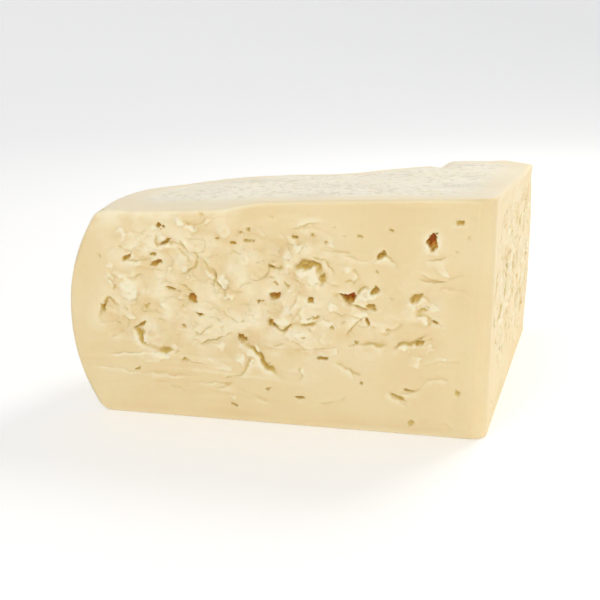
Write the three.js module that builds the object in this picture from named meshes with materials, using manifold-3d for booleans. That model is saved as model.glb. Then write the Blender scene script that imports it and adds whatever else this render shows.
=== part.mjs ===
// A quarter cut from a wheel of soft white mountain cheese, standing on its flat underside.
// Two upright cut faces meet at the wheel's centre; the third side is the wheel's bulging rind.
// Broken curd leaves crags and small openings in the cut faces. Millimetres, +Z up.
// The front face looks along -Y and the side face along +X; the origin is under the middle of the piece.
import * as THREE from "three";
import { mergeVertices } from "three/addons/utils/BufferGeometryUtils.js";
import Module from "manifold-3d";

// The wheel
const wheelRadius = 164; // at the widest part of the rind, halfway up
const cutAngle = THREE.MathUtils.degToRad(95); // between the two cut faces
const cornerRound = 6; // upright edge where the cut faces meet
const bottomInset = 12; // how far the rind draws in at the underside
const topInset = 13; // and at the top
const bottomTuck = 2.2; // powers of the rind's curve below and above its widest part
const topTuck = 2.1;
const rindWave = 0.9; // unevenness of the rind
const rindSwells = [23, 41]; // its two sets of swells, in radians over the whole way round
const rindLean = [5, 9]; // and over the whole height

// The top: highest at the wheel's centre, sinking towards the rind
const centreHeight = 91;
// Its height at the rind, evenly spaced from the front face round to the side face
const rimHeights = [83.2, 84.3, 82.9, 82.2, 80.9, 79.6, 81.5, 83.5, 82.6];
const sinkPower = 1.2;
const edgeDroop = 2.5; // the front face's top edge sags by this much on its way to the rind
const droopAlong = [84, 104, 130, 165]; // from, full, fading, gone, along the face
const droopReach = 14; // how far back from the face
const shoulderWidth = 9; // the rounded shoulder between top and rind
const shoulderDrop = 1.4;
const lipRise = 1.5; // a lifted flap of crust at the far right corner
const lipStart = 0.83; // where it begins, as a share of the way round the rind
const lipReach = 42; // how far in from the rind
const lipStep = 0.015; // half the width of the step where it begins, in the same share

// Broken curd on the cut faces
const curdLength = 19; // a lump of curd along the face
const curdHeight = 11; // and up it
const curdDepth = 2.6; // how far lumps lie below the knife's plane
const crackDepth = 1.9; // cracks between lumps, deeper still
const crackWidth = 3.2;
const wander = [3, 7, 2, 11]; // lumps stray off their grid: by and per this length up, then along
// Where the curd is broken: from, full, fading, gone, along the face and up it
const brokenPatches = [
  { along: [45, 80, 138, 158], up: [16, 34, 70, 84], strength: 1 },
  { along: [8, 22, 50, 70], up: [22, 36, 52, 66], strength: 0.45 },
];

// Mesh steps
const frontSteps = 40;
const rindSteps = 30;
const sideSteps = 30;
const cornerSteps = 3;
const wallRows = 22;
const topRings = 6;
const bottomRings = 2;
const rowCrowding = 0.35; // 0 spaces the wall's rows evenly, 1 crowds them at top and bottom

// The main openings of the front face: distance from the centre corner, height, width, tallness,
// tilt in degrees, depth
const mainOpenings = [
  { along: 22.5, up: 75, wide: 4.6, tall: 5.2, tilt: 30, deep: 7 },
  { along: 52, up: 52.5, wide: 6.5, tall: 4.6, tilt: 10, deep: 7 },
  { along: 44, up: 55, wide: 7, tall: 2.6, tilt: 25, deep: 4.5 },
  { along: 44.5, up: 48.5, wide: 7.5, tall: 2.6, tilt: -5, deep: 4.5 },
  { along: 45, up: 42.5, wide: 5, tall: 2.2, tilt: -50, deep: 4 },
  { along: 27.5, up: 53, wide: 7, tall: 3.6, tilt: 30, deep: 4 },
  { along: 19.5, up: 44.3, wide: 6.4, tall: 1.8, tilt: -24, deep: 4 },
  { along: 27.5, up: 36.5, wide: 14, tall: 2.2, tilt: 22, deep: 4.5 },
  { along: 40, up: 68.7, wide: 5.4, tall: 2.6, tilt: 15, deep: 4 },
  { along: 81, up: 51.5, wide: 6, tall: 3, tilt: -12, deep: 6 },
  { along: 86, up: 49, wide: 5, tall: 1.8, tilt: 38, deep: 4 },
  { along: 67, up: 50, wide: 3.2, tall: 3, tilt: 0, deep: 4.5 },
  { along: 67, up: 63, wide: 7, tall: 3, tilt: 8, deep: 4.5 },
  { along: 62.5, up: 59, wide: 7.5, tall: 2.2, tilt: -70, deep: 4.5 },
  { along: 114, up: 48, wide: 6.2, tall: 3.6, tilt: -15, deep: 6 },
  { along: 122, up: 51, wide: 7.5, tall: 2, tilt: -20, deep: 4 },
  { along: 111, up: 41.5, wide: 4.4, tall: 2, tilt: -12, deep: 4.5 },
  { along: 125.5, up: 76.5, wide: 4.4, tall: 3.6, tilt: -20, deep: 5 },
  { along: 124, up: 69.5, wide: 5, tall: 2.2, tilt: 25, deep: 4 },
  { along: 138.5, up: 63.5, wide: 6, tall: 2.6, tilt: 35, deep: 4.5 },
  { along: 128.5, up: 61, wide: 6, tall: 3.4, tilt: 25, deep: 5 },
  { along: 149.5, up: 42.5, wide: 3, tall: 4.4, tilt: 0, deep: 4.5 },
  { along: 135, up: 36, wide: 6.6, tall: 2.4, tilt: 28, deep: 4.5 },
  { along: 81, up: 40, wide: 5, tall: 4, tilt: -35, deep: 5 },
  { along: 75, up: 39.5, wide: 9, tall: 2.6, tilt: 14, deep: 4.5 },
  { along: 64.5, up: 42.5, wide: 6, tall: 2.4, tilt: 25, deep: 4 },
  { along: 94, up: 33.3, wide: 6, tall: 2.8, tilt: -15, deep: 5 },
  { along: 86.5, up: 26.5, wide: 8, tall: 2.4, tilt: -45, deep: 4.5 },
  { along: 62.5, up: 27.5, wide: 6, tall: 2, tilt: -8, deep: 4 },
  { along: 133, up: 29.5, wide: 8, tall: 2.2, tilt: -35, deep: 4 },
  { along: 28.5, up: 17.5, wide: 5.4, tall: 1.9, tilt: -5, deep: 4 },
  { along: 35, up: 15, wide: 9, tall: 2.6, tilt: -20, deep: 3.5 },
  { along: 71, up: 11.5, wide: 4.6, tall: 2, tilt: 0, deep: 4 },
  { along: 92, up: 73, wide: 5.6, tall: 2.4, tilt: 30, deep: 4 },
];
const strayFront = 12; // smaller openings strewn by the seeded rule
const straySide = 24;
const strayWide = [2.6, 6.5];
const strayFlatness = 0.5; // tallness over width
const strayDeep = 3.6;
const strayTilt = 30; // at most, either way
const strayAlong = [16, 144];
const strayUp = [12, 72];
const strayShape = 1.7; // patches along over patches up
const openingFine = 5.5; // wider openings get more faces
const openingFloor = 0.12; // how far an opening's middle lies below the face, as a share of its depth
const seed = 41;

const rimCurve = new THREE.SplineCurve(rimHeights.map((height, i) => new THREE.Vector2(i, height)));
const rindSection = (share) => new THREE.Vector2(-Math.cos(share * cutAngle), Math.sin(share * cutAngle));
const sideDirection = rindSection(1);
const sideNormal = new THREE.Vector2(sideDirection.y, -sideDirection.x);
const cornerReach = cornerRound / Math.tan(cutAngle / 2); // from the corner to where the rounding ends
const smooth = THREE.MathUtils.smoothstep;

// Rises from 0 to 1 between the first two of four values, and falls again between the last two.
function within(value, [from, full, fading, gone]) {
  return smooth(value, from, full) * (1 - smooth(value, fading, gone));
}

// A repeatable number from 0 to 1 for three whole numbers.
function scatter(i, j, k) {
  const wave = Math.sin(i * 127.1 + j * 311.7 + k * 74.7 + seed) * 43758.5453;
  return wave - Math.floor(wave);
}

// The rind's radius at a share of its height: a barrel drawn in at both ends.
function rindRadius(share) {
  const lift = 2 * share - 1;
  const inset = lift < 0 ? bottomInset * (-lift) ** bottomTuck : topInset * lift ** topTuck;
  return wheelRadius - inset;
}

// The top surface's height over a plan point.
function topHeight(x, y) {
  const out = Math.hypot(x, y);
  const round = THREE.MathUtils.clamp(Math.atan2(y, -x) / cutAngle, 0, 1);
  const sink = centreHeight - rimCurve.getPoint(round).y;
  const droop = edgeDroop * within(-x, droopAlong) * (1 - smooth(y, 0, droopReach));
  const rim = rindRadius(1);
  const shoulder = THREE.MathUtils.clamp(1 - (rim - out) / shoulderWidth, 0, 1);
  const onLip = smooth(round, lipStart - lipStep, lipStart + lipStep);
  const lip = lipRise * onLip * smooth(out, rim - lipReach, rim - lipReach / 2);
  return centreHeight - sink * (out / rim) ** sinkPower - droop - shoulderDrop * shoulder ** 2 + lip;
}

// How broken the curd is at a point of a cut face, 0 to 1: most towards the rind, little by the edges.
function brokenness(along, up) {
  return Math.max(...brokenPatches.map((p) => p.strength * within(along, p.along) * within(up, p.up)));
}

// Lumps of curd as cells of a jittered grid: each lies at its own depth, with a crack along its border.
function curdRelief(face, along, up) {
  const x = (along + wander[0] * Math.sin(up / wander[1] + face)) / curdLength;
  const z = (up + wander[2] * Math.sin(along / wander[3] + 2 * face)) / curdHeight;
  let nearest = Infinity;
  let second = Infinity;
  let level = 0;
  for (let i = Math.floor(x) - 1; i <= Math.floor(x) + 1; i++)
    for (let j = Math.floor(z) - 1; j <= Math.floor(z) + 1; j++) {
      const dx = i + scatter(i, j, face) - x;
      const dz = j + scatter(i, j, face + 10) - z;
      const gap = Math.hypot(dx, dz);
      if (gap < nearest) {
        second = nearest;
        nearest = gap;
        level = scatter(i, j, face + 20);
      } else if (gap < second) second = gap;
    }
  const border = ((second - nearest) * curdHeight) / crackWidth;
  return brokenness(along, up) * (curdDepth * level + crackDepth * Math.exp(-(border ** 2)));
}

// Stations round the plan outline. Each gives its plan point for a rind radius, and on a cut face
// the direction inwards.
function outlineStations() {
  const stations = [];
  const front = new THREE.Vector2(-1, 0);
  const onFace = (face, direction, inward, t) => ({
    face,
    inward,
    at: (radius) => direction.clone().multiplyScalar(cornerReach + t * (radius - cornerReach)),
    along: (radius) => cornerReach + t * (radius - cornerReach),
  });
  const frontInward = new THREE.Vector2(0, 1);
  const sideInward = sideNormal.clone().negate();
  for (let i = 0; i < frontSteps; i++) stations.push(onFace(1, front, frontInward, i / frontSteps));
  for (let i = 0; i <= rindSteps; i++) {
    const turn = i / rindSteps;
    stations.push({ face: 0, at: (radius) => rindSection(turn).multiplyScalar(radius), turn });
  }
  for (let i = sideSteps - 1; i >= 0; i--) stations.push(onFace(2, sideDirection, sideInward, i / sideSteps));
  const centre = new THREE.Vector2(-cornerReach, cornerRound);
  const from = sideNormal.angle();
  const to = 1.5 * Math.PI;
  for (let i = 1; i < cornerSteps; i++) {
    const angle = THREE.MathUtils.lerp(from, to, i / cornerSteps);
    const point = new THREE.Vector2(Math.cos(angle), Math.sin(angle)).multiplyScalar(cornerRound).add(centre);
    stations.push({ face: 0, at: () => point.clone() });
  }
  return stations;
}

// A point of the upright sides: a station of the outline at a share of the height.
function sidePoint(station, share) {
  const radius = rindRadius(share);
  const plan = station.at(radius);
  const height = share * topHeight(plan.x, plan.y);
  if (station.face) {
    const depth = curdRelief(station.face, station.along(radius), height);
    plan.addScaledVector(station.inward, depth);
  }
  if (station.turn !== undefined) {
    const ends = Math.sin(Math.PI * station.turn) * Math.sin(Math.PI * share);
    const long = Math.sin(station.turn * rindSwells[0]) * Math.cos(share * rindLean[0]);
    const short = Math.sin(station.turn * rindSwells[1] + share * rindLean[1]);
    plan.multiplyScalar(1 - (rindWave * ends * (1.6 + long + 0.6 * short)) / wheelRadius); // never outwards
  }
  return new THREE.Vector3(plan.x, plan.y, height);
}

// The closed skin: rings from a pole under the piece, up the sides, to a pole on the top.
function skinGeometry() {
  const stations = outlineStations();
  const pole = rindSection(0.5).multiplyScalar(wheelRadius * 0.55);
  const inwards = (edge, share, height) => {
    const plan = pole.clone().lerp(new THREE.Vector2(edge.x, edge.y), share);
    return new THREE.Vector3(plan.x, plan.y, height(plan));
  };
  const rings = [];
  for (let k = 1; k < bottomRings; k++)
    rings.push(stations.map((s) => inwards(sidePoint(s, 0), k / bottomRings, () => 0)));
  for (let k = 0; k <= wallRows; k++) {
    const even = k / wallRows;
    const share = THREE.MathUtils.lerp(even, 0.5 - 0.5 * Math.cos(Math.PI * even), rowCrowding);
    rings.push(stations.map((s) => sidePoint(s, share)));
  }
  for (let k = topRings - 1; k > 0; k--) {
    const share = 1 - (1 - k / topRings) ** 1.5; // closer together at the shoulder
    rings.push(stations.map((s) => inwards(sidePoint(s, 1), share, (p) => topHeight(p.x, p.y))));
  }
  const count = stations.length;
  const positions = [pole.x, pole.y, 0];
  for (const ring of rings) for (const p of ring) positions.push(p.x, p.y, p.z);
  positions.push(pole.x, pole.y, topHeight(pole.x, pole.y));
  const last = positions.length / 3 - 1;
  const faces = [];
  const corner = (ring, station) => 1 + ring * count + (station % count);
  for (let s = 0; s < count; s++) {
    faces.push(0, corner(0, s), corner(0, s + 1));
    for (let r = 0; r + 1 < rings.length; r++) {
      const [a, b] = [corner(r, s), corner(r + 1, s)];
      const [c, d] = [corner(r + 1, s + 1), corner(r, s + 1)];
      if ((r + s) % 2) faces.push(a, b, c, a, c, d);
      else faces.push(a, b, d, b, c, d);
    }
    faces.push(last, corner(rings.length - 1, s + 1), corner(rings.length - 1, s));
  }
  const geometry = new THREE.BufferGeometry();
  geometry.setAttribute("position", new THREE.Float32BufferAttribute(positions, 3));
  geometry.setIndex(faces);
  return geometry;
}

// An uneven lens that cuts one opening into a face. Its own axes are: along the face, into it, and up.
function openingGeometry(face, { along, up, wide, tall, tilt, deep }, order) {
  const lens = new THREE.IcosahedronGeometry(1, wide > openingFine ? 1 : 0);
  lens.deleteAttribute("normal");
  lens.deleteAttribute("uv");
  const merged = mergeVertices(lens);
  const points = merged.getAttribute("position");
  for (let i = 0; i < points.count; i++) {
    const swell = 0.86 + 0.34 * scatter(i, order, face + 30);
    points.setXYZ(i, points.getX(i) * swell, points.getY(i) * swell, points.getZ(i) * swell);
  }
  merged.scale(wide / 2, deep, tall / 2);
  merged.rotateY(THREE.MathUtils.degToRad(tilt) * -1);
  const direction = face === 1 ? new THREE.Vector2(-1, 0) : sideDirection;
  const inward = face === 1 ? new THREE.Vector2(0, 1) : sideNormal.clone().negate();
  if (face === 2) merged.rotateZ(sideDirection.angle());
  const sunk = curdRelief(face, along, up) + openingFloor * deep;
  const plan = direction.clone().multiplyScalar(along).addScaledVector(inward, sunk);
  merged.translate(plan.x, plan.y, up);
  return merged;
}

// Smaller openings spread over a face: flat slits, each in its own patch of a grid so that none bunch up.
function strayOpenings(face, count) {
  const across = Math.ceil(Math.sqrt(count * strayShape));
  const tiers = Math.ceil(count / across);
  return Array.from({ length: count }, (_, n) => {
    const pick = (k) => scatter(n, face, 50 + k);
    const wide = THREE.MathUtils.lerp(...strayWide, pick(2) ** 2);
    return {
      along: THREE.MathUtils.lerp(...strayAlong, ((n % across) + pick(0)) / across),
      up: THREE.MathUtils.lerp(...strayUp, (Math.floor(n / across) + pick(1)) / tiers),
      wide,
      tall: wide * strayFlatness,
      tilt: strayTilt * (2 * pick(3) - 1),
      deep: strayDeep,
    };
  });
}

const wasm = await Module();
wasm.setup();

function solidFrom(geometry) {
  const mesh = new wasm.Mesh({
    numProp: 3,
    vertProperties: new Float32Array(geometry.getAttribute("position").array),
    triVerts: new Uint32Array(geometry.index.array),
  });
  return new wasm.Manifold(mesh);
}

function cheeseGeometry() {
  const openings = [
    ...mainOpenings.map((o) => [1, o]),
    ...strayOpenings(1, strayFront).map((o) => [1, o]),
    ...strayOpenings(2, straySide).map((o) => [2, o]),
  ];
  const lenses = openings.map(([face, opening], order) => solidFrom(openingGeometry(face, opening, order)));
  const cut = solidFrom(skinGeometry()).subtract(wasm.Manifold.union(lenses));
  // Crumbs that the cuts leave loose are dropped.
  const whole = cut.decompose().reduce((a, b) => (b.volume() > a.volume() ? b : a));
  const made = whole.getMesh();
  const geometry = new THREE.BufferGeometry();
  geometry.setAttribute("position", new THREE.BufferAttribute(new Float32Array(made.vertProperties), 3));
  geometry.setIndex(new THREE.BufferAttribute(new Uint32Array(made.triVerts), 1));
  geometry.computeBoundingBox();
  const middle = geometry.boundingBox.getCenter(new THREE.Vector3());
  geometry.translate(-middle.x, -middle.y, 0);
  geometry.computeVertexNormals();
  return geometry;
}

const pasteColor = 0xf0dcac;
const paste = new THREE.MeshStandardMaterial({ color: pasteColor, roughness: 0.55, metalness: 0 });
paste.flatShading = true;
const cheese = new THREE.Mesh(cheeseGeometry(), paste);
cheese.name = "cheese";

const quarterWheel = new THREE.Group();
quarterWheel.add(cheese);
export default quarterWheel;
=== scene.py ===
import math

import bpy
import numpy as np
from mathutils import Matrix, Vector


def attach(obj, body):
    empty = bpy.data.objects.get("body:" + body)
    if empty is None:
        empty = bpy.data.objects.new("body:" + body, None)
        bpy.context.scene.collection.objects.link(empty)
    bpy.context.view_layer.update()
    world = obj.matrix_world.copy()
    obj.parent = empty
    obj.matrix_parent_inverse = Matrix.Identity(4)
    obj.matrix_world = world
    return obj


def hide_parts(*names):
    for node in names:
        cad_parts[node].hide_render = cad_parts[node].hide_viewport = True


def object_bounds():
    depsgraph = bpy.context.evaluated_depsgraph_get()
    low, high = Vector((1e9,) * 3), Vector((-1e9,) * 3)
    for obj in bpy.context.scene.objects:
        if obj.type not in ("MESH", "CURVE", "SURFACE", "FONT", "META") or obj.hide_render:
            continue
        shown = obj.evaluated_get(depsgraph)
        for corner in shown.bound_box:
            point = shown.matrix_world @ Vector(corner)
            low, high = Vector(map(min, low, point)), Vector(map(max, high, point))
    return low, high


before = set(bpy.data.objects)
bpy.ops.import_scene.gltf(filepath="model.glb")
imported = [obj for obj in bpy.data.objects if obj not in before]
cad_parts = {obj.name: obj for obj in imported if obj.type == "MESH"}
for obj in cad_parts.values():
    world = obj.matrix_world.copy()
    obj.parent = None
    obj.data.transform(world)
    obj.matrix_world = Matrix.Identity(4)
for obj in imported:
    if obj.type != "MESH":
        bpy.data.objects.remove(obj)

cadLow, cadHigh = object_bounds()
print("frame loaded")

mm = 0.001
seed = 23
layerCount, tableSize = 24, 256
numberTable = np.random.default_rng(seed).random((layerCount, tableSize, tableSize))
octaveShift = (17.3, -9.1)  # keeps the finer noises from lining up with the coarser ones


# ---- patterns over two numbers, all computed on whole arrays ----
# A layer picks the random numbers that a pattern reads, and octaves counts its sizes, each half the last.

def ramp(value, start, end):
    # 0 before start, 1 after end, and an S-curve 3t^2 - 2t^3 between them
    t = np.clip((value - start) / (end - start), 0, 1)
    return t * t * (3 - 2 * t)


def within(value, limits):
    # rises between the first two limits and falls between the last two
    return ramp(value, *limits[:2]) * (1 - ramp(value, *limits[2:]))


def mix(a, b, t):
    return a + (b - a) * t


def tableAt(layer, i, j):
    return numberTable[layer, i % tableSize, j % tableSize]


def softNoise(x, y, layer):
    # random numbers at the corners of unit squares, blended by the quintic 6t^5 - 15t^4 + 10t^3; -1 to 1
    i, j = np.floor(x).astype(int), np.floor(y).astype(int)
    u, v = x - i, y - j
    u = u * u * u * (u * (u * 6 - 15) + 10)
    v = v * v * v * (v * (v * 6 - 15) + 10)
    low = mix(tableAt(layer, i, j), tableAt(layer, i + 1, j), u)
    high = mix(tableAt(layer, i, j + 1), tableAt(layer, i + 1, j + 1), u)
    return 2 * mix(low, high, v) - 1


def cloudNoise(x, y, layer, octaves):
    # soft noise plus half of it at twice the fineness, and so on
    total, size = 0, 0
    for k in range(octaves):
        a, b = x * 2 ** k + octaveShift[0] * k, y * 2 ** k + octaveShift[1] * k
        total = total + softNoise(a, b, layer + k % 3) / 2 ** k
        size += 1 / 2 ** k
    return total / size


def cloudOf(x, y, pattern, shift=0):
    # cloud noise of a pattern that is given as its length, height, layer and octaves
    length, height, layer, octaves = pattern
    return cloudNoise(x / length, y / height, layer + shift, octaves)


def lines(value, width):
    # thin lines where a pattern passes through 0: exp(-(value / width)^2)
    return np.exp(-(value / width) ** 2)


def throughPoints(values, place):
    # a smooth curve through evenly spaced values: each stretch is the cubic whose slopes at its ends follow
    # the neighbours on either side
    i = np.minimum(place.astype(int), len(values) - 2)
    t = (place - i).reshape(place.shape + (1,) * (values.ndim - 1))
    a, b, c, d = (values[np.clip(i + k, 0, len(values) - 1)] for k in (-1, 0, 1, 2))
    return b + 0.5 * t * (c - a + t * (2 * a - 5 * b + 4 * c - d + t * (3 * (b - c) + d - a)))


def plates(x, y, layer, sharpness, leaning):
    # scattered points, one in each unit square: every point of the plane takes the level and the lean of the
    # points near it, weighted by exp(-sharpness * distance)
    i, j = np.floor(x).astype(int), np.floor(y).astype(int)
    weights, levels = 1e-12, 0  # never quite nothing to divide by
    for di in (-1, 0, 1):
        for dj in (-1, 0, 1):
            a, b = i + di, j + dj
            dx = x - (a + tableAt(layer, a, b))
            dy = y - (b + tableAt(layer + 1, a, b))
            distance = np.hypot(dx, dy)
            lean = (tableAt(layer + 3, a, b) - 0.5) * dx + (tableAt(layer + 4, a, b) - 0.5) * dy
            weight = np.exp(-sharpness * distance)
            weights = weights + weight
            levels = levels + weight * (tableAt(layer + 2, a, b) - 0.5 + leaning * lean)
    return levels / weights


def blurred(values, reach):
    # the mean over a square of 2 * reach + 1 cells, as differences of running sums
    for axis in (0, 1):
        pad = [(0, 0), (0, 0)]
        pad[axis] = (reach + 1, reach)
        sums = np.cumsum(np.pad(values, pad, mode="edge"), axis=axis)
        size = values.shape[axis]
        high = np.take(sums, np.arange(size) + 2 * reach + 1, axis=axis)
        values = (high - np.take(sums, np.arange(size), axis=axis)) / (2 * reach + 1)
    return values


# ---- the cheese: the same form as the frame's solid, in millimetres from the wheel's centre ----

wheel = dict(
    radius=164, cutAngle=math.radians(95), cornerRound=6,
    bottomInset=12, topInset=13, bottomTuck=2.2, topTuck=2.1,  # how far and how fast the rind draws in
    centreHeight=91, sinkPower=1.2,
    # the top sinks to these heights at the rind, from the front round to the side
    rimHeights=(83.2, 84.3, 82.9, 82.2, 80.9, 79.6, 81.5, 83.5, 82.6),
    edgeDroop=2.5, droopAlong=(84, 104, 130, 165), droopReach=14,  # the front's top edge sags
    shoulderWidth=9, shoulderDrop=1.4,
    lipRise=1.5, lipStart=0.83, lipStep=0.015, lipReach=42,  # lifted crust at the far right
    notch=1.5, notchAt=0.815, notchWidth=0.012, notchReach=24,  # the gap where it begins
    tip=1.2, tipAt=0.95, tipWidth=0.03,  # its curled corner
    # the rind's long and short swells, and how far it stands back between its ends
    rindWave=0.9, rindMean=1.6, rindShort=0.6, rindSwells=(23, 41), rindLean=(5, 9), rindSeat=0.3,
)
edges = dict(rind=2.6, foot=3.2, cutTop=1.1, cutBottom=0.7, upright=2.2)  # radii of the rounded edges
steps = dict(
    front=560, rind=200, side=400, corner=28, rows=300, top=150, bottom=4,
    # the caps' rings close at this share of the radius and crowd towards the edge by this power
    poleAt=0.55, topCrowding=1.25, finished=196000,  # and the number of triangles in the end
)

sideAngle = wheel["cutAngle"]
sideWay = np.array([-math.cos(sideAngle), math.sin(sideAngle)])
frontInward, sideInward = np.array([0.0, 1.0]), np.array([-sideWay[1], sideWay[0]])
cornerReach = wheel["cornerRound"] / math.tan(sideAngle / 2)


def rindRadius(share):
    # a barrel: the widest radius less an inset that grows as a power of the distance from mid-height
    lift = 2 * share - 1
    below = wheel["bottomInset"] * np.maximum(-lift, 0) ** wheel["bottomTuck"]
    above = wheel["topInset"] * np.maximum(lift, 0) ** wheel["topTuck"]
    return wheel["radius"] - below - above


rim = rindRadius(1.0)


def topHeight(x, y):
    # the centre's height less a sink that grows outwards as a power of the distance, a sagging front edge and
    # a rounded shoulder, plus a lip with a notch and a curled tip
    out = np.hypot(x, y)
    turn = np.clip(np.arctan2(y, -x) / sideAngle, 0, 1)
    heights = np.array(wheel["rimHeights"])
    atRim = throughPoints(heights, turn * (len(heights) - 1))
    sink = (wheel["centreHeight"] - atRim) * (out / rim) ** wheel["sinkPower"]
    droop = wheel["edgeDroop"] * within(-x, wheel["droopAlong"]) * (1 - ramp(y, 0, wheel["droopReach"]))
    shoulder = wheel["shoulderDrop"] * np.clip(1 - (rim - out) / wheel["shoulderWidth"], 0, 1) ** 2
    start, step, reach = wheel["lipStart"], wheel["lipStep"], wheel["lipReach"]
    lip = wheel["lipRise"] * ramp(turn, start - step, start + step) * ramp(out, rim - reach, rim - reach / 2)
    torn = wheel["tip"] * lines(turn - wheel["tipAt"], wheel["tipWidth"])
    torn = torn - wheel["notch"] * lines(turn - wheel["notchAt"], wheel["notchWidth"])
    torn = torn * ramp(out, rim - wheel["notchReach"], rim)
    return wheel["centreHeight"] - sink - droop - shoulder + lip + torn


def roundedBy(distance, radius):
    # how far a quarter circle stands back from a straight edge, at a distance from the corner
    t = np.clip(1 - distance / radius, 0, 1)
    return radius * (1 - np.sqrt(1 - t * t))


def wallRadius(share):
    # the barrel with its top and bottom edges rounded
    tall = wheel["rimHeights"][0]
    atTop, atFoot = roundedBy((1 - share) * tall, edges["rind"]), roundedBy(share * tall, edges["foot"])
    return rindRadius(share) - atTop - atFoot


# ---- the cut faces ----

# Openings of the front face: distance from the corner, height, width, tallness, tilt (up to the right), depth
frontOpenings = [
    (21.8, 74.2, 5, 6.6, 15, 6.5), (12.5, 82, 3.2, 2, 10, 2.6), (37, 78.5, 2.6, 1.5, -15, 2.2),
    (40.5, 68.6, 5, 2.4, 30, 3), (73, 74, 3.8, 1.6, -5, 2.6), (48.5, 75.5, 2.6, 1.6, 10, 1.6),
    (52, 52, 6, 4.8, 10, 6.5), (43, 55, 5, 3, 35, 3.4), (43.5, 49, 5.4, 3, -5, 3.2),
    (45, 43, 4.6, 1.8, -52, 3), (27.5, 53, 6, 3.6, 28, 2.8), (24.5, 49, 3.4, 2, 10, 1.6),
    (19.5, 44.3, 6.2, 1.3, -24, 2.8), (25.5, 36.2, 5.4, 2, 28, 3), (81.5, 51, 6, 3.6, -14, 5),
    (86.7, 48.4, 3, 1.8, 35, 3.4), (67, 50, 3.2, 2.8, 10, 3.6), (114, 48, 5.2, 3.2, -22, 5),
    (122, 51.2, 7, 1.6, -16, 2.8), (111, 41.6, 4, 1.7, -14, 3.6), (125.5, 76.5, 4, 3.2, -30, 4),
    (124, 69.6, 4.4, 2, 30, 2.4), (139, 63.4, 4.8, 2, 36, 3), (129, 64.6, 3.4, 1.5, 5, 2.4),
    (128, 61, 5.2, 2.8, 25, 3.4), (150, 42.6, 2, 4.2, 8, 3.2), (134.8, 36, 5.4, 1.8, 32, 3),
    (132, 43.6, 3.6, 3, 45, 1.6), (82, 40.4, 3.6, 4, -30, 3.8), (94, 33.5, 4.8, 2.2, -22, 4),
    (62.5, 27.6, 5.4, 1.7, -8, 2.8), (49, 34.6, 1.7, 2.2, 30, 2.4), (47, 19, 1.8, 2.2, 20, 2.4),
    (28.5, 17.4, 4.6, 1.4, -6, 2.6), (33, 14.4, 6, 1.8, -22, 1.8), (28, 4.4, 2.4, 4.2, -30, 1.6),
    (71, 11.4, 4.2, 1.6, 0, 2.6), (97, 6.5, 4, 1.2, -22, 2), (11, 17.6, 2, 3.2, 10, 1.8),
    (116.8, 23.4, 3.4, 2.6, -10, 1.7), (136.4, 18.4, 3.4, 1.3, 28, 2), (58.5, 40, 2.2, 2.2, 0, 2),
    (91, 76.2, 2.6, 2, -20, 2.2), (97, 70.4, 2.6, 1.8, 0, 3), (94, 75, 2, 1.4, -40, 1.8),
    (91, 71.4, 4, 2, 0, 1.8), (82, 62, 3.6, 1.5, -4, 3), (42, 62.6, 1.8, 1.6, 0, 2.2),
    (66, 75, 2.2, 1.7, 0, 1.8), (3.6, 71.5, 2.8, 3.2, 0, 1.4), (9, 76.5, 2.2, 3, 0, 1.1),
    (67.5, 63.2, 6.4, 2.6, 12, 2.6), (62.5, 58.4, 2.4, 4.6, -12, 2.4), (103, 72, 3.4, 1.2, 6, 2),
    (80.5, 56, 3, 1.6, -38, 2.2), (76.5, 55.4, 3.2, 1.4, -42, 1.8), (65, 43.4, 4, 1.8, 20, 2.2),
    (117, 36.6, 3.4, 1.8, -20, 2), (109, 82, 5, 2.4, -35, 2.2), (83.5, 13.6, 3, 1.4, 25, 1.6),
]
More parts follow.
